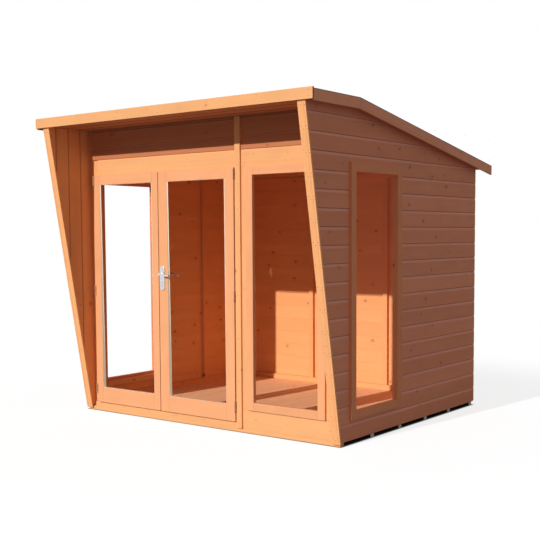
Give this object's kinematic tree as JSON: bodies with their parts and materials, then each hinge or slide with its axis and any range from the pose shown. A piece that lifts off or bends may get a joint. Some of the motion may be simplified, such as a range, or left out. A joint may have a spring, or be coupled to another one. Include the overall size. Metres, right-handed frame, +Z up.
{
  "type": "garden summerhouse",
  "caption": "Square timber summerhouse with glazed double doors, tall fixed windows, raked side wings under a level canopy and a roof that falls to the rear.",
  "frame": {"origin": "on the ground, under the middle of the overall plan", "axes": "+X to the right along the front as seen from outside, +Y from the front to the back, +Z up"},
  "size_m": [2.52, 2.484, 2.233],
  "materials": {
    "treated_bearers": "rough sawn, pressure treated",
    "floor_boards": "planed softwood, unpainted",
    "shiplap_cladding": "planed shiplap boards, golden brown preservative",
    "matchboard": "planed tongue and groove boards, golden brown preservative",
    "framing": "planed softwood",
    "trim": "planed softwood boards, golden brown preservative",
    "joinery": "smooth planed softwood, golden brown preservative",
    "roof_boards": "planed tongue and groove boards",
    "roofing_felt": "mineral surfaced felt, matt",
    "clear_glass": "clear flat glass",
    "satin_chrome": "bright polished",
    "zinc_plated_steel": "zinc plated, dull"
  },
  "bodies": {
    "building": {"back_wall_cladding": "shiplap_cladding", "back_wall_frame": "framing", "canopy_soffit": "matchboard", "centre_cover_strip": "trim", "door_hinges": "zinc_plated_steel", "fascia_board": "trim", "floor_boards": "floor_boards", "floor_joists": "treated_bearers", "front_header_boards": "trim", "front_lower_boards": "trim", "front_upper_panels": "matchboard", "front_wall_frame": "framing", "front_window_frame": "joinery", "front_window_glass": "clear_glass", "left_bargeboards": "trim", "left_rake_board": "trim", "left_wall_frame": "framing", "left_wall_lower_cladding": "shiplap_cladding", "left_wall_rear_cladding": "shiplap_cladding", "left_wall_upper_cladding": "shiplap_cladding", "left_window_frame": "joinery", "left_window_glass": "clear_glass", "left_wing_cladding": "shiplap_cladding", "left_wing_lining": "matchboard", "right_bargeboards": "trim", "right_rake_board": "trim", "right_wall_frame": "framing", "right_wall_lower_cladding": "shiplap_cladding", "right_wall_rear_cladding": "shiplap_cladding", "right_wall_upper_cladding": "shiplap_cladding", "right_window_frame": "joinery", "right_window_glass": "clear_glass", "right_wing_cladding": "shiplap_cladding", "right_wing_lining": "matchboard", "roof_bearers": "framing", "roof_boards": "roof_boards", "roof_felt": "roofing_felt"},
    "left_door": {"left_door_leaf": "joinery", "left_door_glass": "clear_glass", "left_door_hinges": "zinc_plated_steel"},
    "right_door": {"right_door_leaf": "joinery", "right_door_glass": "clear_glass", "right_door_hinges": "zinc_plated_steel", "handle_plates": "satin_chrome"},
    "lever": {"lever_handle": "satin_chrome"}
  },
  "joints": [
    {"name": "left_door_hinge", "type": "hinge", "parent": "building", "child": "left_door", "pos_m": [-1.0635, -0.859, 0.94], "axis": [0, 0, -1], "range_deg": [0, 95]},
    {"name": "right_door_hinge", "type": "hinge", "parent": "building", "child": "right_door", "pos_m": [0.3305, -0.859, 0.94], "axis": [0, 0, 1], "range_deg": [0, 160]},
    {"name": "lever_turn", "type": "hinge", "parent": "right_door", "child": "lever", "pos_m": [-0.345, -0.84, 1.084], "axis": [0, 1, 0], "range_deg": [0, 40], "stiffness_Nm_per_rad": 0.6, "springref_deg": -34.38}
  ]
}
